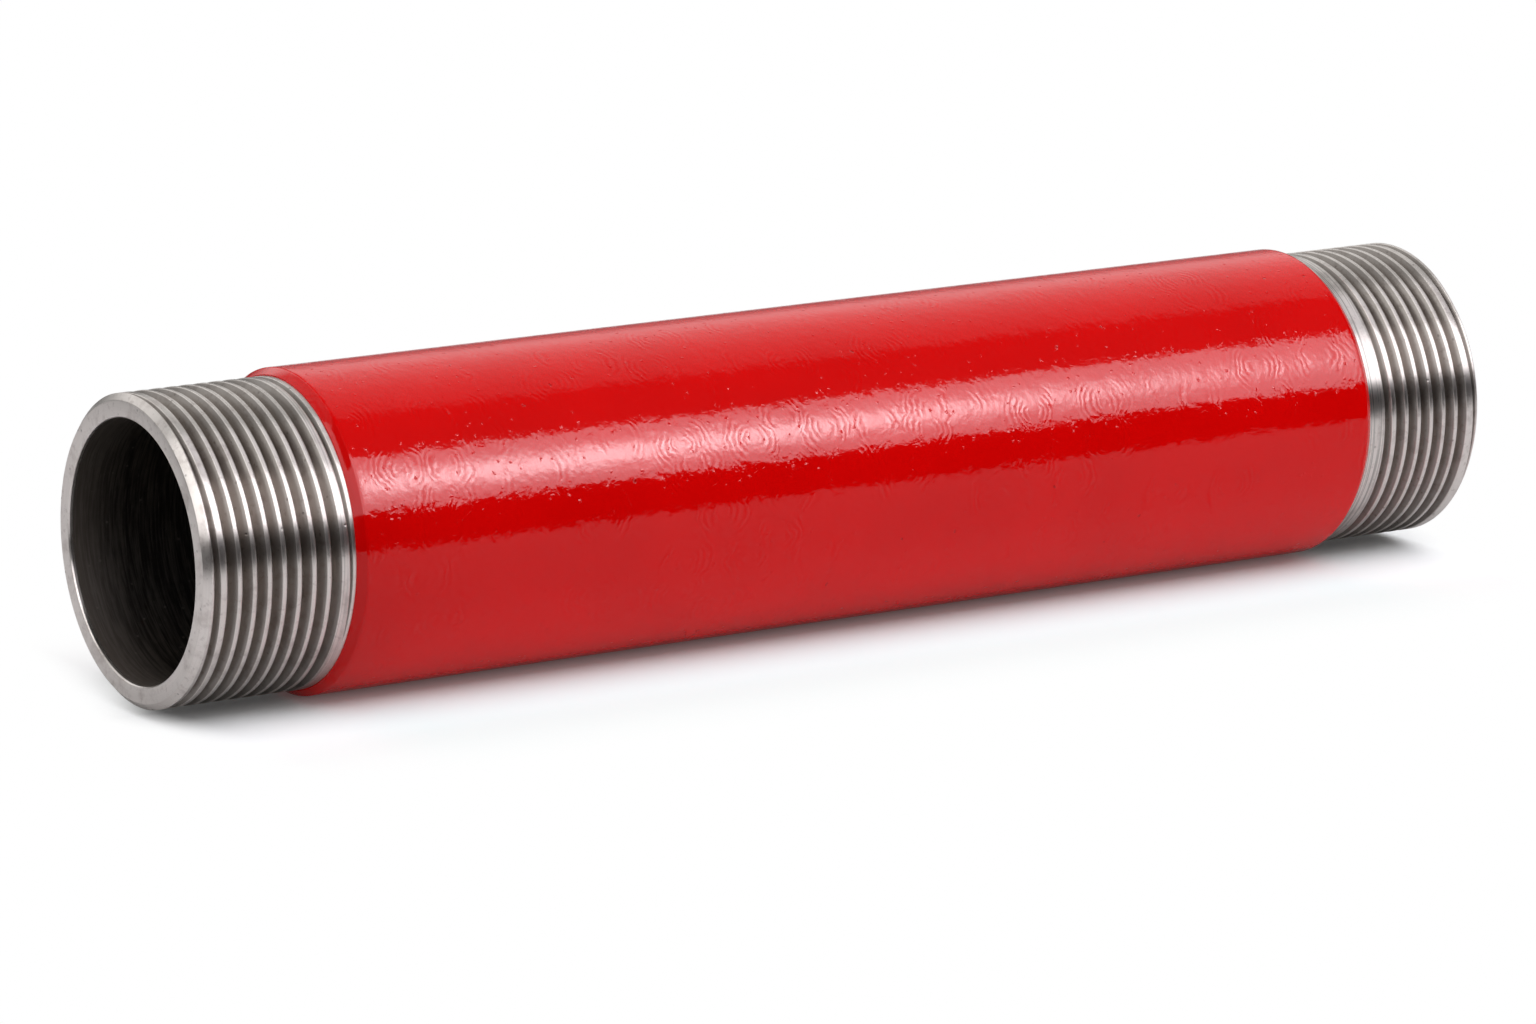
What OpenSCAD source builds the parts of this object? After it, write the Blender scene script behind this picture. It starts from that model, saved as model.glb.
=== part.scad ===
// Steel pipe nipple. A plain tube carries a right-hand thread at each end, and a thick red coat
// covers the length between the threads. The pipe stands on its bottom face with its bore along Z.
// The origin is the middle of the bottom face.

/* [Pipe] */
// Length of the pipe from end face to end face
pipe_l = 208; // [120:1:400]
// Outside diameter of the bare tube, which is also the diameter over the thread crests
pipe_d = 42.2; // [38:0.1:48]
// Thickness of the tube's wall
wall_t = 3.2; // [2.8:0.1:4.5]
// Length of the cone at each end that leads a fitting onto the thread
lead_l = 0.8; // [0.4:0.1:1.2]
// Amount by which that cone narrows the pipe, on the radius
lead_drop = 0.9; // [0.4:0.1:1.2]
// Leg of the small chamfer at each mouth of the bore
mouth_c = 0.2; // [0.1:0.05:0.4]

/* [Thread] */
// Distance from one crest to the next
pitch = 2.209; // [1.8:0.001:2.5]
// Angle between the two flanks of the groove
flank_angle = 60; // [55:1:62]
// Width of the flat crest as a share of the pitch
crest_share = 0.25; // [0.2:0.01:0.35]
// Width of the flat groove floor as a share of the pitch
floor_share = 0.05; // [0.03:0.01:0.1]
// Distance from an end face at which the groove begins
start_l = 0.95; // [0.9:0.05:1.5]
// Distance from the top face at which the top thread runs out
top_thread_l = 21.8; // [15:0.1:21.8]
// Distance from the bottom face at which the bottom thread runs out
bottom_thread_l = 18; // [12:0.1:18.9]
// Turn of the top thread about the axis
top_phase = 59; // [0:1:359]
// Turn of the bottom thread about the axis
bottom_phase = 147; // [0:1:359]
// Turns over which the groove deepens at its start
entry_turns = 0.8; // [0.5:0.1:1.5]
// Turns over which the groove rises out of the steel at its end
exit_turns = 1; // [0.5:0.1:1.5]

/* [Coat] */
// Thickness of the red coat
coat_t = 1.05; // [0.6:0.05:2]
// Length of bare steel at the top end
top_bare_l = 22.25; // [22.2:0.05:30]
// Length of bare steel at the bottom end
bottom_bare_l = 20; // [19.6:0.1:30]
// Length of the bevel at each end of the coat
bevel_l = 1.1; // [0.4:0.05:1.5]
// Thickness of the coat at the foot of the bevel
foot_t = 0.15; // [0.1:0.05:0.4]

/* [Hidden] */
// Sides of a round shape
round_sides = 128;
// Sections of the groove in one turn
turn_steps = 48;
// Height above the crests at which the groove's cutter has its back
cutter_back = 0.2;
// Share of the groove's depth by which the cutter's two tips stand clear of the steel
tip_rise = 0.08;

pipe_r = pipe_d / 2;
bore_r = pipe_r - wall_t;
face_r = pipe_r - lead_drop;
coat_r = pipe_r + coat_t;

flank_run = tan(flank_angle / 2);
floor_w = pitch * floor_share;
groove_depth = pitch * (1 - crest_share - floor_share) / (2 * flank_run);

// Rise from 0 to 1 over a count of turns, steep at first
function ramp(turns, over) = sqrt(min(1, max(0, turns) / over));

// Share of the full depth that the groove has, at a count of turns from its start
function depth_share(turns, all_turns) =
    (1 + tip_rise) * min(ramp(turns, entry_turns), ramp(all_turns - turns, exit_turns)) - tip_rise;

// Point at a radius, an angle and a height
function around(r, angle, z) = [r * cos(angle), r * sin(angle), z];

// Four corners of the groove's section: its floor, then the cutter's back above the crests
function groove_section(z, angle, depth) =
    let (
        floor_half = floor_w / 2,
        back_half = floor_half + (depth + cutter_back) * flank_run,
        floor_r = pipe_r - depth,
        back_r = pipe_r + cutter_back
    )
    [
        around(floor_r, angle, z - floor_half),
        around(floor_r, angle, z + floor_half),
        around(back_r, angle, z + back_half),
        around(back_r, angle, z - back_half)
    ];

// Two triangles of one side of the cutter, between two neighbouring sections
function side_faces(ring, side) =
    let (
        a = 4 * ring + side,
        b = 4 * ring + (side + 1) % 4,
        c = b + 4,
        d = a + 4
    )
    [[a, c, b], [a, d, c]];

// Cutter of one thread: the groove's section, swept along a right-hand helix from the end face at Z = 0
module groove_cutter(thread_l, phase) {
    all_turns = (thread_l - start_l) / pitch;
    rings = ceil(all_turns * turn_steps);
    step = all_turns / rings;
    points = [
        for (i = [0 : rings])
            each groove_section(
                start_l + pitch * step * i,
                phase + 360 * step * i,
                groove_depth * depth_share(step * i, all_turns)
            )
    ];
    last = 4 * rings;
    faces = concat(
        [[0, 1, 2], [0, 2, 3]],
        [for (i = [0 : rings - 1], side = [0 : 3]) each side_faces(i, side)],
        [[last, last + 2, last + 1], [last, last + 3, last + 2]]
    );
    polyhedron(points, faces);
}

// Tube before threading, with a lead cone and a chamfered mouth at both ends
module plain_tube() {
    rotate_extrude($fn = round_sides)
        polygon([
            [bore_r + mouth_c, 0],
            [face_r, 0],
            [pipe_r, lead_l],
            [pipe_r, pipe_l - lead_l],
            [face_r, pipe_l],
            [bore_r + mouth_c, pipe_l],
            [bore_r, pipe_l - mouth_c],
            [bore_r, mouth_c]
        ]);
}

// Threaded tube
module steel_pipe() {
    color("silver")
        difference() {
            plain_tube();
            groove_cutter(bottom_thread_l, bottom_phase);
            translate([0, 0, pipe_l])
                rotate([180, 0, 0])
                    groove_cutter(top_thread_l, top_phase);
        }
}

// Red coat between the threads, bevelled at both ends
module red_coating() {
    coat_top = pipe_l - top_bare_l;
    color("red")
        rotate_extrude($fn = round_sides)
            polygon([
                [pipe_r, bottom_bare_l],
                [pipe_r + foot_t, bottom_bare_l],
                [coat_r, bottom_bare_l + bevel_l],
                [coat_r, coat_top - bevel_l],
                [pipe_r + foot_t, coat_top],
                [pipe_r, coat_top]
            ]);
}

steel_pipe();
red_coating();
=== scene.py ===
"""A short threaded steel pipe with a thick red coat between its threads.

The pipe stands on its bottom face with its bore along Z. The photograph shows it lying down, so the studio
is laid out for a lying pipe: the floor is a plane beside it, up in the picture is -Y, and the camera stands
on the -X side, beyond the top end.
"""

import logging
import math
from dataclasses import dataclass
from enum import Enum

import bmesh
import bpy
import numpy as np
from mathutils import Matrix, Vector, noise


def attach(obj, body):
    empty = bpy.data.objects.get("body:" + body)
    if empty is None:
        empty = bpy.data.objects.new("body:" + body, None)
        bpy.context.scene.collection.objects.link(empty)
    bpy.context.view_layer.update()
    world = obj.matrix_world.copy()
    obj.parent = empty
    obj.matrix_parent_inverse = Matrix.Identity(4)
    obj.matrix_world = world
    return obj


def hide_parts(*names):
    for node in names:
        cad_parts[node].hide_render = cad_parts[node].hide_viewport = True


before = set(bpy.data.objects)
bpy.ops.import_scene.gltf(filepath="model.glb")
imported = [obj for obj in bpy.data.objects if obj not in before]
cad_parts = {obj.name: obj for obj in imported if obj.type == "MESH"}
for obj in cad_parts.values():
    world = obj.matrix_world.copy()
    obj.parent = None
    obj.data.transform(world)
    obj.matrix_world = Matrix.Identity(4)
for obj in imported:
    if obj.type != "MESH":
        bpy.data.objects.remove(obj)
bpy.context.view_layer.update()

log = logging.getLogger("threaded_pipe")

Piece = bpy.types.Object
Socket = bpy.types.NodeSocket
Colour = tuple[float, float, float]
Point = tuple[float, float]
Side = list[tuple[np.ndarray, np.ndarray]]

# Metres in a millimetre, the unit of the pipe's shapes
MM = 0.001
# Height of the pipe's middle in millimetres
PIPE_MIDDLE = 104.0
# Quads in one turn of every mesh
COLUMNS = 240
# Width in millimetres below which a quad is left out
LEAST_WIDTH = 1e-6
# Distance in metres within which points are welded
WELD_DISTANCE = 1e-7
# Angle between faces above which their edge stays sharp
SMOOTH_LIMIT = math.radians(28)
# Light of the soft cards and the flat lamps
SOFT_WHITE = (1.0, 0.98, 1.03, 1.0)
# Plain white light
WHITE = (1.0, 1.0, 1.0, 1.0)
# Direction of the pipe's axis
AXIS = Vector((0.0, 0.0, 1.0))
# Watts of a flat lamp of one square metre that glows at its level
POWER_PER_AREA = 4.0


class End(Enum):
    """Which end face of the pipe a shape is measured from."""

    TOP = "top"
    BOTTOM = "bottom"


class Surface(Enum):
    """Material slots of the steel tube's mesh, in their order."""

    TURNED = 0
    BORE = 1


# ---- mesh tools


class GridMesh:
    """Collects grids of points and welds them into one closed mesh."""

    def __init__(self) -> None:
        """Start with no points and no faces."""
        self.points: list[np.ndarray] = []
        self.faces: list[tuple[int, ...]] = []
        self.slots: list[int] = []
        self.count = 0

    def add_grid(self, grid: np.ndarray, slot: int = 0) -> None:
        """Add the quads between the rows and columns of a grid, leaving out those with no width.

        Args:
            grid: Points in millimetres, shaped (rows, columns, 3).
            slot: Index of the material that the quads wear.
        """
        rows, columns, _ = grid.shape
        index = self.count + np.arange(rows * columns).reshape(rows, columns)
        gap = np.linalg.norm(grid[1:] - grid[:-1], axis=2) > LEAST_WIDTH
        wide = gap[:, :-1] | gap[:, 1:]
        corners = np.stack([index[:-1, :-1], index[:-1, 1:], index[1:, 1:], index[1:, :-1]], axis=2)
        quads = corners[wide].tolist()
        self.faces.extend(quads)
        self.slots.extend([slot] * len(quads))
        self.points.append(grid.reshape(-1, 3))
        self.count += rows * columns

    def build(self, name: str) -> Piece:
        """Weld the grids into one object.

        Args:
            name: Name of the object and of its mesh.

        Returns:
            The object, linked into the scene, in metres.
        """
        mesh = bpy.data.meshes.new(name)
        points = np.concatenate(self.points) * MM
        mesh.from_pydata(points.tolist(), [], self.faces)
        mesh.polygons.foreach_set("material_index", self.slots)
        work = bmesh.new()
        work.from_mesh(mesh)
        bmesh.ops.remove_doubles(work, verts=work.verts, dist=WELD_DISTANCE)
        bmesh.ops.recalc_face_normals(work, faces=work.faces)
        work.to_mesh(mesh)
        work.free()
        mesh.polygons.foreach_set("use_smooth", [True] * len(mesh.polygons))
        mesh.set_sharp_from_angle(angle=SMOOTH_LIMIT)
        piece = bpy.data.objects.new(name, mesh)
        bpy.context.scene.collection.objects.link(piece)
        return piece


def angles() -> np.ndarray:
    """Return the angles of the mesh columns, the last of which closes the ring."""
    return np.linspace(0, 2 * math.pi, COLUMNS + 1)


def turned(radius: np.ndarray, height: np.ndarray) -> np.ndarray:
    """Turn a surface round the axis.

    Args:
        radius: Radii in millimetres, shaped (rows, columns) or (rows, 1).
        height: Heights in millimetres, shaped alike.

    Returns:
        Points in millimetres, shaped (rows, columns, 3).
    """
    turn = angles()
    x = radius * np.cos(turn)
    y = radius * np.sin(turn)
    return np.stack([x, y, np.broadcast_to(height, x.shape)], axis=2)


def split(profile: list[Point]) -> tuple[np.ndarray, np.ndarray]:
    """Return the radii and the heights of a profile, each shaped (rows, 1)."""
    table = np.array(profile)
    return table[:, :1], table[:, 1:]


def straight(radius: float, low: float, high: float, rows: int) -> list[Point]:
    """Return the profile of a cylinder with a count of rows, as pairs of radius and height."""
    return [(radius, low + (high - low) * step / rows) for step in range(rows + 1)]


def fillet(before: Point, corner: Point, after: Point, reach: float, steps: int = 3) -> list[Point]:
    """Round the corner of a profile.

    Args:
        before: Profile point on one side of the corner.
        corner: The corner itself.
        after: Profile point on the other side.
        reach: Distance from the corner to where the rounding begins and ends, in millimetres.
        steps: Number of pieces that the rounding has.

    Returns:
        Points of the rounding, from the side of before to the side of after.
    """
    first, middle, last = Vector(before), Vector(corner), Vector(after)
    start = middle + (first - middle).normalized() * reach
    stop = middle + (last - middle).normalized() * reach
    points = []
    for step in range(steps + 1):
        share = step / steps
        point = start * (1 - share) ** 2 + middle * (2 * share * (1 - share)) + stop * share**2
        points.append((point.x, point.y))
    return points


# ---- node tools


@dataclass
class Graph:
    """Builds the nodes of one material, lamp or world."""

    tree: bpy.types.NodeTree

    def add(self, kind: str, settings: dict[str, object] | None = None, **sockets: object) -> bpy.types.Node:
        """Add a node.

        Args:
            kind: Short type name, such as "TexNoise".
            settings: Properties of the node itself.
            **sockets: Values or outputs for its inputs, named as the inputs are with _ for a space.

        Returns:
            The new node.
        """
        node = self.tree.nodes.new("ShaderNode" + kind)
        for name, value in (settings or {}).items():
            setattr(node, name, value)
        for name, value in sockets.items():
            self.feed(node.inputs[name.replace("_", " ")], value)
        return node

    def feed(self, socket: Socket, value: object) -> None:
        """Link an output to an input, or set the input's own value.

        Args:
            socket: The input.
            value: An output of another node, or a plain value.
        """
        if isinstance(value, Socket):
            self.tree.links.new(value, socket)
        else:
            socket.default_value = value

    def fed(self, kind: str, settings: dict[str, object], *values: object) -> Socket:
        """Add a node and feed its inputs in order.

        Args:
            kind: Short type name.
            settings: Properties of the node itself.
            *values: Values or outputs for its inputs.

        Returns:
            The node's first output.
        """
        node = self.add(kind, settings)
        for socket, value in zip(node.inputs, values):
            self.feed(socket, value)
        return node.outputs[0]

    def math(self, operation: str, *values: object) -> Socket:
        """Return the result of a maths operation on numbers or outputs."""
        return self.fed("Math", {"operation": operation}, *values)

    def times(self, first: object, second: object) -> Socket:
        """Return the product of two values."""
        return self.math("MULTIPLY", first, second)

    def sloped(self, value: object, slope: object, start: object) -> Socket:
        """Return a value times a slope, plus a start."""
        return self.math("MULTIPLY_ADD", value, slope, start)

    def vector(self, operation: str, *values: object) -> Socket:
        """Return the result of an operation on vectors or outputs."""
        return self.fed("VectorMath", {"operation": operation}, *values)

    def reach(self, source: Socket, direction: Vector) -> Socket:
        """Return how far a vector reaches in a direction."""
        return self.vector("DOT_PRODUCT", source, tuple(direction)).node.outputs["Value"]

    def scaled(self, source: Socket, factor: float) -> Socket:
        """Return a vector made longer by a factor."""
        return self.add("VectorMath", {"operation": "SCALE"}, Vector=source, Scale=factor).outputs[0]

    def away_from(self, value: Socket, middle: float) -> Socket:
        """Return how far a value lies from a middle, on either side of it."""
        return self.math("ABSOLUTE", self.math("SUBTRACT", value, middle))

    def spread(
        self, value: Socket, low: float, high: float, to_low: float = 0.0, to_high: float = 1.0
    ) -> Socket:
        """Return a value mapped smoothly from one range to another.

        Args:
            value: The value to map.
            low: Value that becomes to_low.
            high: Value that becomes to_high.
            to_low: Result at low and below it.
            to_high: Result at high and above it.

        Returns:
            The mapped value.
        """
        ends = {"From_Min": low, "From_Max": high, "To_Min": to_low, "To_Max": to_high}
        node = self.add("MapRange", {"interpolation_type": "SMOOTHSTEP"}, Value=value, **ends)
        return node.outputs["Result"]

    def noise(self, place: Socket, scale: float, detail: float, roughness: float = 0.5) -> Socket:
        """Return a cloudy value, with the scale of its clouds and the number of its finer layers."""
        return self.add("TexNoise", Vector=place, Scale=scale, Detail=detail, Roughness=roughness).outputs[0]

    def spots(self, place: Socket, scale: float, core: float, rim: float) -> Socket:
        """Return 1 in the cores of round spots and 0 past their rims, measured in distances between spots."""
        cells = self.add("TexVoronoi", Vector=place, Scale=scale)
        return self.spread(cells.outputs["Distance"], core, rim, 1.0, 0.0)

    def grey(self, level: Socket) -> Socket:
        """Return a grey as bright as a value."""
        return self.add("CombineXYZ", X=level, Y=level, Z=level).outputs[0]

    def ramp(self, value: Socket, stops: tuple[tuple[float, Colour], ...]) -> Socket:
        """Return a colour that follows a value.

        Args:
            value: Value from 0 to 1.
            stops: Pairs of position and RGB colour.

        Returns:
            The colour.
        """
        node = self.add("ValToRGB", Fac=value)
        elements = node.color_ramp.elements
        while len(elements) < len(stops):
            elements.new(1.0)
        for element, (position, colour) in zip(elements, stops):
            element.position = position
            element.color = (*colour, 1.0)
        return node.outputs["Color"]

    def mixed(self, share: object, first: object, second: object, blend: str = "MIX") -> Socket:
        """Return a mix of two colours.

        Args:
            share: Share of the second colour.
            first: First colour, as RGB or as an output.
            second: Second colour, as RGB or as an output.
            blend: How the second colour acts on the first.

        Returns:
            The mixed colour.
        """
        node = self.add("Mix", {"data_type": "RGBA", "blend_type": blend})
        self.feed(node.inputs[0], share)
        for socket, colour in ((node.inputs[6], first), (node.inputs[7], second)):
            self.feed(socket, (*colour, 1.0) if isinstance(colour, tuple) else colour)
        return node.outputs[2]

    def added(self, first: bpy.types.Node, second: bpy.types.Node) -> Socket:
        """Return the sum of two shaders."""
        return self.fed("AddShader", {}, first.outputs[0], second.outputs[0])

    def blended(self, share: Socket, first: Socket, second: Socket) -> Socket:
        """Return a mix of two shaders, with the share of the second."""
        return self.fed("MixShader", {}, share, first, second)

    def surface(self, height: Socket, **sockets: object) -> None:
        """Finish a material.

        Args:
            height: Height of its bumps in millimetres.
            **sockets: Values or outputs for the inputs of its shader.
        """
        bump = self.add("Bump", Strength=1.0, Distance=MM, Height=height)
        shader = self.add("BsdfPrincipled", Normal=bump.outputs[0], **sockets)
        self.add("OutputMaterial", Surface=shader.outputs[0])

    def millimetres(self) -> Socket:
        """Return the object's own coordinates in millimetres."""
        return self.scaled(self.add("TexCoord").outputs["Object"], 1 / MM)


def new_material(name: str) -> tuple[bpy.types.Material, Graph]:
    """Make an empty material.

    Args:
        name: Name of the material.

    Returns:
        The material and the builder of its nodes.
    """
    material = bpy.data.materials.new(name)
    material.use_nodes = True
    material.node_tree.nodes.clear()
    return material, Graph(material.node_tree)


# ---- finishes


@dataclass(frozen=True)
class TurnedSteel:
    """Bare steel with fine marks round the axis, faint blotches and small pits, and painted shade down the
    grooves.

    Lengths are in millimetres. The run-out holds four distances from the pipe's middle, between which the
    tool's lines fade in and out.
    """

    colour: Colour = (0.80, 0.748, 0.708)
    stain: Colour = (0.50, 0.44, 0.41)
    # Painted shade: colours that darken the flanks below the crests and warm the roots of the grooves
    painted_groove_shade: Colour = (0.42, 0.41, 0.40)
    painted_root_shade: Colour = (1.0, 0.97, 0.945)
    line: Colour = (0.36, 0.34, 0.32)
    pitted: Colour = (0.14, 0.12, 0.11)
    roughness: float = 0.27
    crest_r: float = 21.1
    cone_foot: float = 103.2
    run_out: tuple[float, float, float, float] = (82.2, 83.0, 85.5, 88.0)
    fine_marks: tuple[float, float, float] = (2.2, 2.2, 11.0)
    coarse_marks: tuple[float, float, float] = (1.4, 1.4, 3.4)
    line_marks: tuple[float, float, float] = (0.9, 0.9, 4.6)

    def make(self) -> bpy.types.Material:
        """Build the material.

        Returns:
            The material.
        """
        material, graph = new_material("turned_steel")
        place = graph.millimetres()
        x, y, z = graph.add("SeparateXYZ", Vector=place).outputs
        radius = graph.math("SQRT", graph.sloped(x, x, graph.times(y, y)))
        across = graph.sloped(radius, 0.37, z)
        round_axis = graph.add(
            "CombineXYZ", X=graph.math("DIVIDE", x, radius), Y=graph.math("DIVIDE", y, radius), Z=across
        ).outputs[0]

        fine = graph.noise(graph.vector("MULTIPLY", round_axis, self.fine_marks), 1.0, 3.0, 0.6)
        coarse = graph.noise(graph.vector("MULTIPLY", round_axis, self.coarse_marks), 1.0, 1.0)
        blotch = graph.noise(place, 0.35, 4.0, 0.6)
        mottle = graph.noise(place, 1.1, 3.0, 0.6)
        pit = graph.spots(place, 0.42, 0.04, 0.11)
        flank_shade_share = self.down_groove(graph, radius, z, 0.03, 0.16)
        deep = self.down_groove(graph, radius, z, 0.2, 1.25)
        lines = self.tool_lines(graph, round_axis, z)

        tone = graph.mixed(graph.spread(blotch, 0.48, 0.72, 0.0, 0.55), self.colour, self.stain)
        streak = graph.sloped(fine, 0.16, 0.92)
        tone = graph.mixed(1.0, tone, graph.grey(streak), "MULTIPLY")
        tone = graph.mixed(graph.spread(mottle, 0.56, 0.72, 0.0, 0.45), tone, self.stain)
        # Painted shade: the flanks turn darker below the crests, and the roots slightly darker and warmer
        # still
        tone = graph.mixed(flank_shade_share, tone, self.painted_groove_shade, "MULTIPLY")
        tone = graph.mixed(deep, tone, self.painted_root_shade, "MULTIPLY")
        tone = graph.mixed(graph.times(lines, 0.8), tone, self.line)
        tone = graph.mixed(graph.times(pit, 0.5), tone, self.pitted)

        rough = graph.sloped(fine, 0.10, self.roughness - 0.05)
        rough = graph.sloped(blotch, 0.06, rough)
        height = graph.sloped(fine, 0.0009, graph.times(coarse, 0.0008))
        height = graph.sloped(pit, -0.015, height)
        tangent = graph.add("Tangent", {"direction_type": "RADIAL", "axis": "Z"})
        graph.surface(
            height,
            Base_Color=tone,
            Metallic=1.0,
            Roughness=rough,
            Specular_Tint=(0.80, 0.80, 0.80, 1.0),
            Anisotropic=0.8,
            Anisotropic_Rotation=0.25,
            Tangent=tangent.outputs[0],
        )
        return material

    def down_groove(self, graph: Graph, radius: Socket, z: Socket, begin: float, end: float) -> Socket:
        """Return how far a place lies down a groove of the threads.

        Args:
            graph: Node builder.
            radius: Distance from the axis.
            z: Height on the pipe.
            begin: Depth below the crests at which the result leaves 0.
            end: Depth at which it reaches 1.

        Returns:
            A value from 0 to 1, which is 0 on the lead cones and the end faces.
        """
        depth = graph.spread(radius, self.crest_r - end, self.crest_r - begin, 1.0, 0.0)
        from_middle = graph.away_from(z, PIPE_MIDDLE)
        threaded = graph.spread(from_middle, self.cone_foot - 0.25, self.cone_foot, 1.0, 0.0)
        return graph.times(depth, threaded)

    def tool_lines(self, graph: Graph, round_axis: Socket, z: Socket) -> Socket:
        """Return the fine lines that the tool left where the threads run out.

        Args:
            graph: Node builder.
            round_axis: Place on a circle of radius 1, with the height as its third part.
            z: Height on the pipe.

        Returns:
            A value of 0 between the lines, and on them 1 at the bottom end and 0.5 at the top end.
        """
        from_middle = graph.away_from(z, PIPE_MIDDLE)
        fade_in = graph.spread(from_middle, *self.run_out[:2])
        fade_out = graph.spread(from_middle, *self.run_out[2:], 1.0, 0.0)
        lines = graph.noise(graph.vector("MULTIPLY", round_axis, self.line_marks), 1.0, 2.0, 0.6)
        near = graph.times(fade_in, fade_out)
        marks = graph.times(graph.spread(lines, 0.50, 0.60), near)
        return graph.times(marks, graph.spread(z, 40.0, 160.0, 1.0, 0.5))


@dataclass(frozen=True)
class BoreScale:
    """Dark mill scale inside the bore, with drawn streaks and light specks, turning lighter towards both
    mouths.
    """

    colour: Colour = (0.0060, 0.0042, 0.0028)
    worn: Colour = (0.046, 0.035, 0.025)
    mouth_tone: Colour = (0.125, 0.103, 0.086)
    speckled: Colour = (0.20, 0.18, 0.16)
    roughness: float = 0.38
    lighter_from: float = 95.0
    broad_marks: tuple[float, float, float] = (0.10, 0.10, 0.62)
    thin_marks: tuple[float, float, float] = (0.16, 0.16, 2.852)

    def make(self) -> bpy.types.Material:
        """Build the material.

        Returns:
            The material.
        """
        material, graph = new_material("bore_scale")
        place = graph.millimetres()
        broad = graph.noise(graph.vector("MULTIPLY", place, self.broad_marks), 1.0, 3.0, 0.6)
        thin = graph.noise(graph.vector("MULTIPLY", place, self.thin_marks), 1.0, 3.0, 0.6)
        streak = graph.sloped(thin, 0.68, graph.times(broad, 0.32))
        grain = graph.noise(place, 1.4, 3.0, 0.6)
        speck = graph.spots(place, 0.5, 0.05, 0.13)
        from_middle = graph.away_from(graph.add("SeparateXYZ", Vector=place).outputs[2], PIPE_MIDDLE)
        # The scale turns lighter over the last stretch towards each mouth
        mouth = graph.spread(from_middle, self.lighter_from, PIPE_MIDDLE, 0.0, 0.7)

        tone = graph.mixed(graph.spread(streak, 0.42, 0.74), self.colour, self.worn)
        tone = graph.mixed(mouth, tone, self.mouth_tone)
        tone = graph.mixed(graph.times(speck, 0.5), tone, self.speckled)
        rough = graph.sloped(grain, 0.2, self.roughness - 0.1)
        sheen = graph.spread(streak, 0.40, 0.62, 0.42, 1.10)
        height = graph.sloped(streak, 0.02, graph.times(grain, 0.012))
        graph.surface(height, Base_Color=tone, Roughness=rough, IOR=1.6, Specular_IOR_Level=sheen)
        return material


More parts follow.
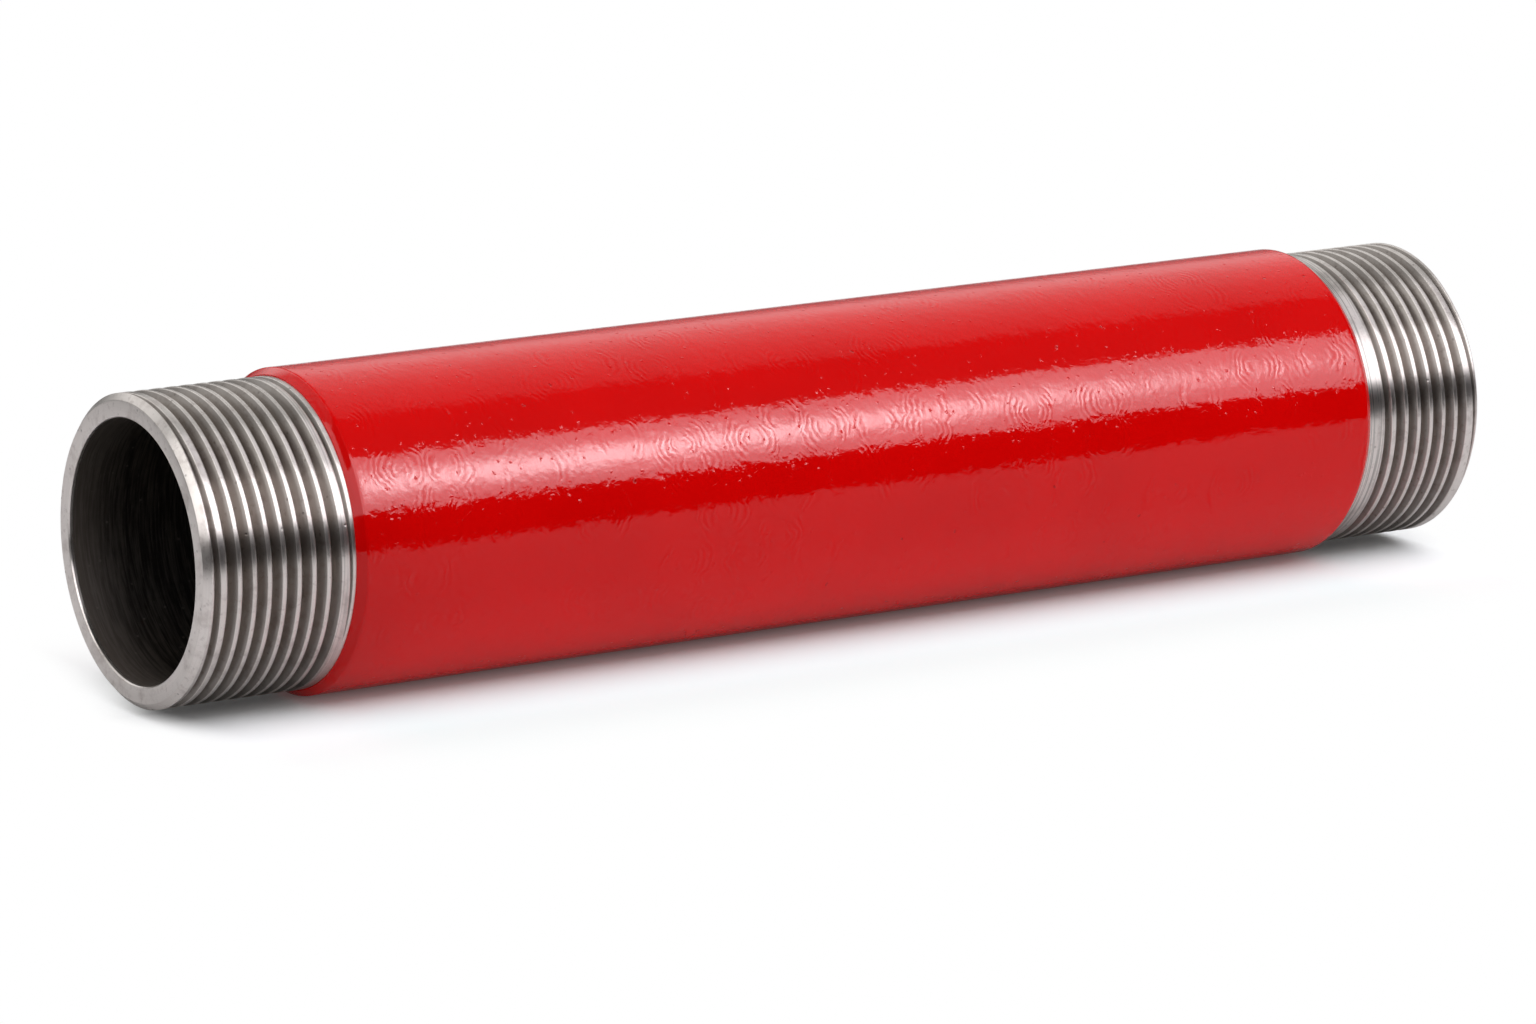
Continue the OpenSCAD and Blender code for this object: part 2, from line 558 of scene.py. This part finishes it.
@dataclass(frozen=True)
class RedGloss:
    """Thick glossy red coat with orange peel, shallow arcs where it flowed, pits and dust nibs.

    Lengths are in millimetres. The shoulder is the distance from the coat's middle to the edge of a bevel.
    """

    colour: Colour = (0.63, 0.0010, 0.0010)
    deep: Colour = (0.59, 0.0008, 0.0008)
    pitted: Colour = (0.24, 0.0020, 0.0020)
    roughness: float = 0.05
    middle: float = 102.875
    shoulder: float = 81.775
    flow_scale: float = 0.13
    arc_pitch: float = 0.85

    def make(self) -> bpy.types.Material:
        """Build the material.

        Returns:
            The material.
        """
        material, graph = new_material("red_gloss")
        place = graph.millimetres()
        shaken = self.shaken(graph, place, 2.2, 2.0, 0.7)
        swell = graph.noise(place, 0.30, 2.0)
        peel = graph.noise(shaken, 0.85, 1.5)
        grain = graph.noise(place, 3.4, 2.0, 0.6)
        arcs = self.arcs(graph, place)
        pit = graph.spots(shaken, 0.17, 0.020, 0.052)
        nib = self.nibs(graph, shaken)

        height = graph.times(swell, 0.055)
        for part, rise in ((peel, 0.036), (grain, 0.0032), (arcs, 0.0064), (pit, -0.055), (nib, 0.048)):
            height = graph.sloped(part, rise, height)
        height = graph.times(height, self.on_barrel(graph, place))
        cloud = graph.noise(place, 0.05, 3.0)
        tone = graph.mixed(graph.spread(cloud, 0.35, 0.7), self.colour, self.deep)
        tone = graph.mixed(graph.times(pit, 0.6), tone, self.pitted)
        rough = graph.sloped(grain, 0.03, self.roughness)
        sheen = graph.sloped(arcs, 0.20, 0.5)
        graph.surface(height, Base_Color=tone, Roughness=rough, IOR=1.38, Specular_IOR_Level=sheen)
        return material

    @staticmethod
    def shaken(graph: Graph, place: Socket, scale: float, detail: float, reach: float) -> Socket:
        """Return a place pushed about by noise, so that round marks lose their even shape.

        Args:
            graph: Node builder.
            place: The place.
            scale: Scale of the noise.
            detail: Number of its finer layers.
            reach: How far it pushes.

        Returns:
            The new place.
        """
        push = graph.add("TexNoise", Vector=place, Scale=scale, Detail=detail).outputs["Color"]
        push = graph.vector("SUBTRACT", push, (0.5, 0.5, 0.5))
        return graph.vector("ADD", place, graph.scaled(push, reach))

    def arcs(self, graph: Graph, place: Socket) -> Socket:
        """Return the shallow arcs on both sides of the spots where the coat flowed together.

        Args:
            graph: Node builder.
            place: The place.

        Returns:
            A value from -1 to 1 that waves from arc to arc.
        """
        bent = self.shaken(graph, place, 0.5, 3.0, 1.7)
        flow = graph.add("TexVoronoi", Vector=bent, Scale=self.flow_scale)
        reach = graph.math("DIVIDE", flow.outputs["Distance"], self.flow_scale)
        offset = graph.add("SeparateXYZ", Vector=graph.vector("SUBTRACT", bent, flow.outputs["Position"]))
        along = graph.math("ABSOLUTE", offset.outputs[2])
        along = graph.math("DIVIDE", along, graph.math("MAXIMUM", reach, 0.01))
        wave = graph.math("SINE", graph.times(reach, 2 * math.pi / self.arc_pitch))
        patch = graph.spread(graph.noise(place, 0.21, 2.0), 0.32, 0.50, 0.30, 1.0)
        inside = graph.times(graph.spread(reach, 0.3, 1.0), graph.spread(reach, 3.8, 5.5, 1.0, 0.3))
        inside = graph.times(graph.spread(along, 0.45, 0.80), inside)
        return graph.times(wave, graph.times(patch, inside))

    @staticmethod
    def nibs(graph: Graph, place: Socket) -> Socket:
        """Return the dust nibs, which stand in some cells of a random pattern.

        Args:
            graph: Node builder.
            place: The place.

        Returns:
            A value that rises from 0 to 1 on each nib.
        """
        cells = graph.add("TexVoronoi", Vector=place, Scale=0.72)
        draw = graph.add("SeparateColor", Color=cells.outputs["Color"]).outputs[0]
        cone = graph.spread(cells.outputs["Distance"], 0.0, 0.20, 1.0, 0.0)
        return graph.times(cone, graph.math("GREATER_THAN", draw, 0.40))

    def on_barrel(self, graph: Graph, place: Socket) -> Socket:
        """Return 1 along the coat and a small share on its smooth bevels."""
        from_middle = graph.away_from(graph.add("SeparateXYZ", Vector=place).outputs[2], self.middle)
        return graph.spread(from_middle, self.shoulder - 0.35, self.shoulder, 1.0, 0.2)


# ---- the steel tube


@dataclass(frozen=True)
class Thread:
    """One right-hand male thread, measured from its own end face, in millimetres.

    A rounding takes up no more than flank_part of a flank, and round_middle places the middle point of its
    arc. The lip stands beside the crests, and lip holds the reach and the drop of its points.
    """

    end: End
    length: float
    phase: float
    start: float = 0.95
    pitch: float = 2.209
    flank_angle: float = 60.0
    crest_share: float = 0.25
    floor_share: float = 0.05
    entry_turns: float = 0.8
    exit_turns: float = 1.0
    tip_rise: float = 0.08
    crest_round: float = 0.07
    floor_round: float = 0.16
    flank_part: float = 0.45
    round_middle: float = 0.268
    lip_depth: float = 0.4
    lip_reach: float = 0.110
    lip: tuple[Point, ...] = (
        (0.105, 0.014), (0.086, 0.085), (0.056, 0.085), (0.030, 0.058), (-0.030, 0.078), (-0.085, 0.132),
    )
    run_past: float = 0.3
    spare_turns: int = 2

    @property
    def lean(self) -> float:
        """Half of the angle between the flanks, in radians."""
        return math.radians(self.flank_angle / 2)

    @property
    def depth(self) -> float:
        """Full depth of the groove."""
        return self.pitch * (1 - self.crest_share - self.floor_share) / (2 * math.tan(self.lean))

    @property
    def turns(self) -> float:
        """Number of turns from the start of the groove to its end."""
        return (self.length - self.start) / self.pitch

    def depth_at(self, turn: np.ndarray) -> np.ndarray:
        """Return the groove's depth at counts of turns from its start.

        Args:
            turn: Counts of turns, also before the start and after the end.

        Returns:
            The depths, 0 where there is no groove.
        """
        enter = np.sqrt(np.clip(turn, 0, None) / self.entry_turns).clip(0, 1)
        leave = np.sqrt(np.clip(self.turns - turn, 0, None) / self.exit_turns).clip(0, 1)
        share = (1 + self.tip_rise) * np.minimum(enter, leave) - self.tip_rise
        return self.depth * share.clip(0, None)

    def section(self, depth: np.ndarray) -> tuple[Side, Side]:
        """Return both sides of the groove's section, from the crest down to the root.

        Args:
            depth: Depths of the groove, one in each column.

        Returns:
            Distances from the groove's middle with their depths, first on the side of the end face.
        """
        lean_in, lean_up = math.sin(self.lean), math.cos(self.lean)
        floor_half = self.pitch * self.floor_share / 2
        half = floor_half + depth * math.tan(self.lean)
        most = self.flank_part * depth / lean_up
        crest = np.minimum(self.crest_round, most)
        floor = np.minimum(self.floor_round, most)
        crest_bend, floor_bend = self.round_middle * crest, self.round_middle * floor
        full = np.minimum(1.0, depth / self.lip_depth)
        root = [
            ((half + floor_half) / 2, depth / 2),
            (floor_half + floor * lean_in, depth - floor * lean_up),
            (floor_half - floor_bend * lean_in, depth - floor_bend * lean_up),
        ]
        plain = [
            (half + crest, np.zeros_like(depth)),
            (half + crest_bend * lean_in, crest_bend * lean_up),
            (half - crest * lean_in, crest * lean_up),
            *root,
        ]
        lipped = [
            (half + self.lip_reach * full + crest, np.zeros_like(depth)),
            *((half + reach * full, drop * full) for reach, drop in self.lip),
            *root,
        ]
        return (lipped, plain) if self.end is End.TOP else (plain, lipped)

    def grid(self, pipe_r: float, low: float) -> tuple[np.ndarray, np.ndarray]:
        """Return the threaded surface as rows that follow the groove.

        Args:
            pipe_r: Radius over the crests.
            low: Distance from the end face at which the surface begins.

        Returns:
            Radii and distances from the end face, each shaped (rows, columns).
        """
        high = self.length + self.run_past
        turn_share = (angles() - math.radians(self.phase)) / (2 * math.pi)
        first = math.floor((low - self.start) / self.pitch - turn_share.max()) - self.spare_turns
        last = math.ceil((high - self.start) / self.pitch - turn_share.min()) + self.spare_turns
        rows: Side = []
        for number in range(first, last + 1):
            turn = number + turn_share
            depth = self.depth_at(turn)
            centre = self.start + self.pitch * turn
            before, after = self.section(depth)
            rows.append((centre - self.pitch / 2, np.zeros_like(depth)))
            rows.extend((centre - offset, drop) for offset, drop in before)
            rows.append((centre, depth))
            rows.extend((centre + offset, drop) for offset, drop in reversed(after))
        distance = np.clip(np.array([row[0] for row in rows]), low, high)
        return pipe_r - np.array([row[1] for row in rows]), distance


@dataclass(frozen=True)
class SteelTube:
    """The turned tube: threads, lead cones, end faces, chamfered mouths and the bore, in millimetres."""

    length: float = 208.0
    diameter: float = 42.2
    wall: float = 3.2
    lead: float = 0.8
    lead_drop: float = 0.9
    mouth: float = 0.2
    edge: float = 0.06
    bore_start: float = 0.6
    bore_rows: int = 24
    barrel_rows: int = 6
    threads: tuple[Thread, Thread] = (Thread(End.TOP, 21.8, 59.0), Thread(End.BOTTOM, 18.0, 147.0))

    @property
    def pipe_r(self) -> float:
        """Radius over the crests."""
        return self.diameter / 2

    @property
    def bore_r(self) -> float:
        """Radius of the bore."""
        return self.pipe_r - self.wall

    def placed(self, end: End, radius: np.ndarray, distance: np.ndarray) -> np.ndarray:
        """Place a surface that was measured from an end face.

        Args:
            end: The end face.
            radius: Radii, shaped (rows, columns) or (rows, 1).
            distance: Distances from the end face, shaped alike.

        Returns:
            Points in millimetres, shaped (rows, columns, 3).
        """
        grid = turned(radius, distance)
        if end is End.TOP:
            return grid * (1, -1, -1) + (0, 0, self.length)
        return grid

    def tip(self) -> list[Point]:
        """Return the profile of an end, from the foot of its lead cone over the face into the bore.

        Returns:
            Pairs of radius and distance from the end face.
        """
        foot = (self.pipe_r, self.lead)
        rim = (self.pipe_r - self.lead_drop, 0.0)
        mouth = (self.bore_r + self.mouth, 0.0)
        inner = (self.bore_r, self.mouth)
        deep = (self.bore_r, self.bore_start)
        return [
            foot,
            *fillet(foot, rim, mouth, self.edge),
            ((rim[0] + mouth[0]) / 2, 0.0),
            *fillet(rim, mouth, inner, self.edge),
            *fillet(mouth, inner, deep, self.edge),
            deep,
        ]

    def build(self) -> Piece:
        """Build the tube's mesh and dress it.

        Returns:
            The finished piece.
        """
        mesh = GridMesh()
        for thread in self.threads:
            surface = thread.grid(self.pipe_r, self.lead)
            mesh.add_grid(self.placed(thread.end, *surface), Surface.TURNED.value)
            mesh.add_grid(self.placed(thread.end, *split(self.tip())), Surface.TURNED.value)
        top, bottom = (thread.length + thread.run_past for thread in self.threads)
        barrel = straight(self.pipe_r, bottom, self.length - top, self.barrel_rows)
        mesh.add_grid(turned(*split(barrel)), Surface.TURNED.value)
        bore = straight(self.bore_r, self.bore_start, self.length - self.bore_start, self.bore_rows)
        mesh.add_grid(turned(*split(bore)), Surface.BORE.value)
        piece = mesh.build("threaded_steel_tube")
        piece.data.materials.append(TurnedSteel().make())
        piece.data.materials.append(BoreScale().make())
        return piece


# ---- the red coat


@dataclass(frozen=True)
class RedCoat:
    """The coat between the threads: a closed ring with a bevel at each end and an uneven skin.

    Lengths are in millimetres. The waves of the skin hold their scale, their share and their shift.
    """

    pipe_r: float = 21.1
    thickness: float = 1.05
    low: float = 20.0
    high: float = 185.75
    bevel: float = 1.1
    foot: float = 0.15
    shoulder_round: float = 0.11
    shoulder_steps: int = 4
    foot_round: float = 0.05
    rows: int = 200
    unevenness: float = 0.022
    waves: tuple[tuple[float, float, Colour], ...] = (
        (0.045, 0.55, (0.0, 0.0, 0.0)),
        (0.19, 0.30, (7.0, 3.0, 1.0)),
        (0.47, 0.15, (2.0, 9.0, 5.0)),
    )
    wave_reach: float = 0.7

    @property
    def outer(self) -> float:
        """Radius over the coat."""
        return self.pipe_r + self.thickness

    def profile(self) -> list[Point]:
        """Return the coat's closed profile.

        Returns:
            Pairs of radius and height, from the foot at the bottom round to itself.
        """
        foot = self.pipe_r + self.foot
        corners = [
            (self.pipe_r, self.low),
            (foot, self.low),
            (self.outer, self.low + self.bevel),
            (self.outer, self.high - self.bevel),
            (foot, self.high),
            (self.pipe_r, self.high),
        ]
        bottom = self.low + self.bevel + self.shoulder_round
        top = self.high - self.bevel - self.shoulder_round
        return [
            corners[0],
            *fillet(*corners[0:3], self.foot_round),
            *fillet(*corners[1:4], self.shoulder_round, self.shoulder_steps),
            *straight(self.outer, bottom, top, self.rows)[1:-1],
            *fillet(*corners[2:5], self.shoulder_round, self.shoulder_steps),
            *fillet(*corners[3:6], self.foot_round),
            corners[5],
            corners[0],
        ]

    def sink(self, point: Vector) -> float:
        """Return how far the skin sinks at a point."""
        total = sum(share * noise.noise(point * scale + Vector(shift)) for scale, share, shift in self.waves)
        return self.unevenness * min(1.0, max(0.0, 0.5 + 0.5 * total / self.wave_reach))

    def build(self) -> Piece:
        """Build the coat's mesh and dress it.

        Returns:
            The finished piece.
        """
        grid = turned(*split(self.profile()))
        for row in range(grid.shape[0]):
            for column in range(COLUMNS):
                x, y, z = grid[row, column]
                radius = math.hypot(x, y)
                if radius > self.pipe_r + self.foot:
                    share = (radius - self.pipe_r) / self.thickness
                    drop = self.sink(Vector((x, y, z))) * share
                    grid[row, column, :2] *= (radius - drop) / radius
            grid[row, -1] = grid[row, 0]
        mesh = GridMesh()
        mesh.add_grid(grid)
        piece = mesh.build("red_coat")
        piece.data.materials.append(RedGloss().make())
        return piece


# ---- the studio


class Reaches(Enum):
    """What a card acts on."""

    GLOSS = "gloss"
    BODY = "body"


class Target(Enum):
    """The piece that a flat lamp lights."""

    STEEL = "steel"
    COAT = "coat"


@dataclass(frozen=True)
class Plane:
    """The plane of a light: a point of it in metres, its two directions and where its back looks."""

    centre: Vector
    rise: Vector
    run: Vector
    back: Vector

    @classmethod
    def beside(cls, lift: float, away: float) -> "Plane":
        """Return the plane square off the pipe's axis, at a lift in degrees above the camera's side."""
        toward = Vector((-math.cos(math.radians(lift)), -math.sin(math.radians(lift)), 0.0))
        return cls(toward * away, AXIS.cross(toward), AXIS, toward)

    def spot(self, across: float, along: float) -> Vector:
        """Return a point of the plane."""
        return self.centre + self.rise * across + self.run * along


def sheet(name: str, corners: list[Vector], back: Vector) -> Piece:
    """Make a flat four-sided sheet that belongs to the stage.

    Args:
        name: Name of the object.
        corners: Its corners in metres, in order.
        back: Direction that its back looks in.

    Returns:
        The object.
    """
    mesh = bpy.data.meshes.new(name)
    mesh.from_pydata([tuple(corner) for corner in corners], [], [(0, 1, 2, 3)])
    if mesh.polygons[0].normal.dot(back) > 0:
        mesh.flip_normals()
    piece = bpy.data.objects.new(name, mesh)
    bpy.context.scene.collection.objects.link(piece)
    return piece


def one_sided(graph: Graph, front: Socket) -> None:
    """Finish a material that shows a shader on its front and nothing from behind."""
    behind, clear = graph.add("NewGeometry").outputs["Backfacing"], graph.add("BsdfTransparent").outputs[0]
    graph.add("OutputMaterial", Surface=graph.blended(behind, front, clear))


@dataclass(frozen=True)
class LightCard:
    """A glowing card, measured from its plane's centre, across on its rise and along on its run."""

    name: str
    plane: Plane
    across: Point
    along: Point
    level: float
    reaches: Reaches
    light: tuple[float, ...] = SOFT_WHITE

    def build(self) -> None:
        """Build the card, which the camera doesn't see and which casts no shadow."""
        order = ((0, 0), (0, 1), (1, 1), (1, 0))
        corners = [self.plane.spot(self.across[side], self.along[end]) for side, end in order]
        card = sheet(self.name, corners, self.plane.back)
        material, graph = new_material(self.name + "_cloth")
        one_sided(graph, graph.add("Emission", Color=self.light, Strength=self.level).outputs[0])
        card.data.materials.append(material)
        card.visible_camera = False
        card.visible_shadow = False
        card.visible_transmission = False
        card.visible_diffuse = self.reaches is Reaches.BODY
        card.visible_glossy = self.reaches is Reaches.GLOSS


@dataclass(frozen=True)
class FlatLamp:
    """A flat lamp that shows in the gloss of one piece and lets every ray through.

    It is placed as a light card is, and can glow more round a hot spot.
    """

    name: str
    target: Target
    plane: Plane
    across: Point
    along: Point
    level: float
    hot_level: float = 0.0
    hot_place: Point = (0.0, 0.0)
    hot_size: Point = (0.1, 0.1)

    def build(self, piece: Piece) -> None:
        """Build the lamp.

        Args:
            piece: What it lights.
        """
        width, length = self.across[1] - self.across[0], self.along[1] - self.along[0]
        data = bpy.data.lights.new(self.name, "AREA")
        data.shape = "RECTANGLE"
        data.size, data.size_y = width, length
        data.energy = POWER_PER_AREA * width * length
        data.use_nodes = True
        data.node_tree.nodes.clear()
        self.glow(Graph(data.node_tree))
        lamp = bpy.data.objects.new(self.name, data)
        bpy.context.scene.collection.objects.link(lamp)
        plane = self.plane
        middle = plane.spot(sum(self.across) / 2, sum(self.along) / 2)
        turn = Matrix((plane.rise, plane.run, plane.back)).transposed().to_4x4()
        lamp.matrix_world = Matrix.Translation(middle) @ turn
        lamp.visible_camera = False
        lamp.visible_diffuse = False
        lamp.visible_transmission = False
        lit = bpy.data.collections.new(self.name + "_lights")
        lit.objects.link(piece)
        lamp.light_linking.receiver_collection = lit

    def glow(self, graph: Graph) -> None:
        """Build the lamp's nodes.

        Args:
            graph: Node builder.
        """
        level: Socket | float = self.level
        if self.hot_level:
            spot = tuple(self.plane.spot(*self.hot_place))
            offset = graph.vector("SUBTRACT", graph.add("NewGeometry").outputs["Position"], spot)
            along = graph.math("DIVIDE", graph.reach(offset, self.plane.run), self.hot_size[1])
            across = graph.math("DIVIDE", graph.reach(offset, self.plane.rise), self.hot_size[0])
            far = graph.sloped(along, along, graph.times(across, across))
            bright = graph.math("EXPONENT", graph.times(far, -0.5))
            level = graph.sloped(bright, self.hot_level, self.level)
        emission = graph.add("Emission", Color=SOFT_WHITE, Strength=level)
        graph.add("OutputLight", Surface=emission.outputs[0])


@dataclass(frozen=True)
class Floor:
    """The photograph's floor: a pale plane beside the pipe, plain white away from it.

    Its outline is in metres. What lies on it is in millimetres: the white fades in over the two distances
    of fade, and faster by end_gain past end_from. Each pair of tints is for beside the coat and the steel:
    the close pair tints the paper cyan against the red light that the coat throws on it, and the wide pair
    is a painted shadow that darkens the paper further out, still tinted against the red.
    """

    y: float = 0.0222
    front: float = -0.192
    back: float = 3.0
    far: float = -3.0
    near: float = 0.33
    fade: Point = (8.0, 50.0)
    middle: float = 102.8
    end_from: float = 98.0
    end_gain: float = 4.0
    steel_from: Point = (74.0, 92.0)
    wide_from: Point = (13.0, 36.0)
    # The close tints work against the coat's red bounce light; the wide tints are a painted shadow
    red_cancel_tints: tuple[Colour, Colour] = ((0.75, 1.0, 1.0), (0.97, 1.0, 1.0))
    painted_shadow_tints: tuple[Colour, Colour] = ((0.58, 0.70, 0.68), (0.74, 0.74, 0.73))
    mirrored: float = 0.56

    def build(self) -> None:
        """Lay the floor, which shows nothing from behind."""
        x, z = (self.front, self.back, self.back, self.front), (self.far, self.far, self.near, self.near)
        corners = [Vector((side, self.y, end)) for side, end in zip(x, z)]
        ground = sheet("floor", corners, Vector((0.0, 1.0, 0.0)))
        material, graph = new_material("pale_floor")
        parts = graph.add("SeparateXYZ", Vector=graph.millimetres())
        beside = graph.math("ABSOLUTE", parts.outputs[0])
        unseen = self.floor_light(graph, beside, parts.outputs[2])
        shown = self.shown(graph, beside, graph.away_from(parts.outputs[2], self.middle))
        seen = graph.add("LightPath").outputs["Is Camera Ray"]
        one_sided(graph, graph.blended(seen, unseen, shown))
        ground.data.materials.append(material)

    def shown(self, graph: Graph, beside: Socket, from_middle: Socket) -> Socket:
        """Return the floor as the camera sees it, with a painted shadow tint and a painted glow near the
        pipe.

        Args:
            graph: Node builder.
            beside: Distance from the pipe's axis in millimetres.
            from_middle: Distance along the pipe from its middle in millimetres.

        Returns:
            The shader.
        """
        beyond = graph.times(graph.math("SUBTRACT", from_middle, self.end_from), self.end_gain)
        out = graph.math("ADD", beside, graph.math("MAXIMUM", beyond, 0.0))
        by_steel = graph.spread(from_middle, *self.steel_from)
        # Close tints are painted against the coat's red bounce; wide tints are a painted shadow further out
        close, wide = (graph.mixed(by_steel, *tints) for tints in (self.red_cancel_tints, self.painted_shadow_tints))
        tint = graph.mixed(graph.spread(beside, *self.wide_from), close, wide)
        paper = graph.added(graph.add("BsdfDiffuse", Color=tint), self.painted_glow(graph, beside, 0.03, 0.205, 14.0))
        glow = graph.add("Emission", Color=WHITE, Strength=1.0).outputs[0]
        return graph.blended(graph.spread(out, *self.fade), paper, glow)

    def floor_light(self, graph: Graph, beside: Socket, height: Socket) -> Socket:
        """Return the floor as it lights the pipe's body, darker past the top end as painted shade, and as the
        pipe's gloss mirrors it.

        Args:
            graph: Node builder.
            beside: Distance from the pipe's axis in millimetres.
            height: Place along the pipe's axis in millimetres.

        Returns:
            The shader.
        """
        # Painted shade: the floor turns darker past the pipe's top end, so that less light bounces up onto
        # that end
        grey = graph.grey(graph.spread(height, 175.0, 203.0, 0.84, 0.12))
        bounced = graph.added(graph.add("BsdfDiffuse", Color=grey), self.painted_glow(graph, beside, 0.04, 0.12))
        flat = graph.add("BsdfDiffuse", Color=(self.mirrored, self.mirrored, self.mirrored, 1.0))
        mirrored = graph.added(flat, self.painted_glow(graph, beside, 0.02, 0.05))
        return graph.blended(graph.add("LightPath").outputs["Is Glossy Ray"], bounced, mirrored)

    @staticmethod
    def painted_glow(graph: Graph, beside: Socket, under: float, away: float, over: float = 10.0) -> bpy.types.Node:
        """Return a painted glow, a faint light that the floor gives off, from one level under the pipe to
        another away from it.
        """
        return graph.add("Emission", Color=WHITE, Strength=graph.spread(beside, 0.0, over, under, away))


@dataclass(frozen=True)
class Surround:
    """The world: white to the camera, and a studio with a dark side to everything else.

    Each table pairs directions with levels. Lifts go round the pipe, in degrees above the camera's side.
    Slants go from -1 past the bottom end to 1 past the top end.
    """

    lifts: tuple[Point, ...] = (
        (-180, 0.30), (-120, 0.60), (-60, 0.3), (-12, 0.004), (14, 0.004), (60, 0.10), (91, 0.08),
        (96, 0.46), (120, 0.72), (150, 1.0), (158, 0.90), (167, 0.34), (180, 0.12),
    )
    slants: tuple[Point, ...] = (
        (-1.0, 0.20), (-0.9, 0.18), (-0.72, 0.12), (-0.62, 0.4), (-0.45, 0.4), (-0.36, 0.10), (-0.26, 0.12),
        (-0.1, 0.75), (0.08, 0.75), (0.18, 0.26), (0.36, 0.40), (0.55, 0.36), (1.0, 0.18),
    )
    slant_gain: float = 2.5

    @staticmethod
    def stops(table: tuple[Point, ...], reach: float) -> tuple[tuple[float, Colour], ...]:
        """Return the stops of a ramp for a table whose directions go from -reach to reach."""
        return tuple((0.5 + place / (2 * reach), (level, level, level)) for place, level in table)

    def build(self) -> None:
        """Set the world."""
        world = bpy.data.worlds.new("studio")
        bpy.context.scene.world = world
        world.use_nodes = True
        world.node_tree.nodes.clear()
        graph = Graph(world.node_tree)
        parts = graph.add("SeparateXYZ", Vector=graph.add("TexCoord").outputs["Generated"])
        ahead = graph.times(parts.outputs[0], -1.0)
        up = graph.times(parts.outputs[1], -1.0)
        lift = graph.sloped(graph.math("ARCTAN2", up, ahead), 0.5 / math.pi, 0.5)
        height = graph.sloped(parts.outputs[2], 0.5, 0.5)
        by_lift = graph.ramp(lift, self.stops(self.lifts, 180.0))
        by_slant = graph.scaled(graph.ramp(height, self.stops(self.slants, 1.0)), self.slant_gain)
        studio = graph.mixed(1.0, by_lift, by_slant, "MULTIPLY")
        seen = graph.add("LightPath").outputs["Is Camera Ray"]
        colour = graph.mixed(seen, studio, WHITE[:3])
        background = graph.add("Background", Color=colour, Strength=1.0)
        graph.add("OutputWorld", Surface=background.outputs[0])


# Square to the pipe beyond its top end, with its directions on a slant
BEYOND_TOP = Plane(Vector((-0.10, -0.75, 1.4)), Vector((-0.74, -0.67, 0.0)), Vector((0.67, -0.74, 0.0)), AXIS)


@dataclass(frozen=True)
class Studio:
    """The floor, the cards, the lamps and the surround."""

    floor: Floor = Floor()
    surround: Surround = Surround()
    cards: tuple[LightCard, ...] = (
        LightCard("softbox", Plane.beside(37.5, 1.0), (-0.332, 0.372), (-2.2, 2.6), 2.1, Reaches.GLOSS),
        LightCard("fill", Plane.beside(65.0, 1.1), (-0.635, 0.635), (-1.15, 0.72), 2.55, Reaches.BODY),
    )
    lamps: tuple[FlatLamp, ...] = (
        FlatLamp(
            "coat_lamp", Target.COAT, Plane.beside(37.5, 0.98), (-0.320, 0.392), (-0.95, 0.6), level=1.9,
            hot_level=11.5, hot_place=(0.012, -0.42), hot_size=(0.093, 0.14),
        ),
        FlatLamp("steel_top_lamp", Target.STEEL, Plane.beside(80.0, 0.9), (-0.31, 0.27), (-1.0, 0.15), 0.62),
    )
    overheads: tuple[LightCard, ...] = (
        LightCard("overhead", BEYOND_TOP, (-0.27, 0.5), (-0.68, 0.85), 1.95, Reaches.GLOSS, WHITE),
        LightCard("overhead_side", BEYOND_TOP, (-0.90, -0.45), (0.0, 0.70), 0.25, Reaches.GLOSS, WHITE),
        LightCard("overhead_fill", BEYOND_TOP, (-0.5, 0.25), (-1.1, -0.3), 2.0, Reaches.BODY, WHITE),
    )

    def build(self, tube: Piece, coat: Piece) -> None:
        """Build the floor, the cards, the lamps and the surround.

        Args:
            tube: The steel tube.
            coat: The red coat.
        """
        pieces = {Target.STEEL: tube, Target.COAT: coat}
        self.floor.build()
        for card in self.cards:
            card.build()
        for lamp in self.lamps:
            lamp.build(pieces[lamp.target])
        for overhead in self.overheads:
            overhead.build()
        self.surround.build()
        bpy.context.scene.view_settings.view_transform = "Standard"


@dataclass(frozen=True)
class PhotoCamera:
    """The photograph's view, solved from the outlines of the pipe. The lens and sensor are in millimetres."""

    place: tuple[float, float, float] = (-0.847514, -0.213421, 0.647067)
    aim: tuple[float, float, float] = (-0.001511, 0.005831, 0.109395)
    up: tuple[float, float, float] = (0.0, -1.0, 0.0)
    lens: float = 173.237
    sensor: float = 36.0
    sight: Point = (0.01, 100.0)

    def build(self) -> None:
        """Set up the camera and make it the scene's own."""
        data = bpy.data.cameras.new("camera")
        data.sensor_fit = "HORIZONTAL"
        data.sensor_width = self.sensor
        data.lens = self.lens
        data.clip_start, data.clip_end = self.sight
        camera = bpy.data.objects.new("camera", data)
        forward = (Vector(self.aim) - Vector(self.place)).normalized()
        right = forward.cross(Vector(self.up)).normalized()
        above = right.cross(forward)
        turn = Matrix((right, above, -forward)).transposed().to_4x4()
        camera.matrix_world = Matrix.Translation(self.place) @ turn
        bpy.context.scene.collection.objects.link(camera)
        bpy.context.scene.camera = camera


def main() -> None:
    """Build the pipe, its coat, the studio and the camera."""
    logging.basicConfig(level=logging.INFO, format="%(name)s: %(message)s")
    tube = SteelTube().build()
    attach(tube, "root")
    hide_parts("steel_pipe")
    log.info("%s: %d faces", tube.name, len(tube.data.polygons))
    coat = RedCoat().build()
    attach(coat, "root")
    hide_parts("red_coating")
    log.info("%s: %d faces", coat.name, len(coat.data.polygons))
    Studio().build(tube, coat)
    PhotoCamera().build()


if __name__ == "__main__":
    main()
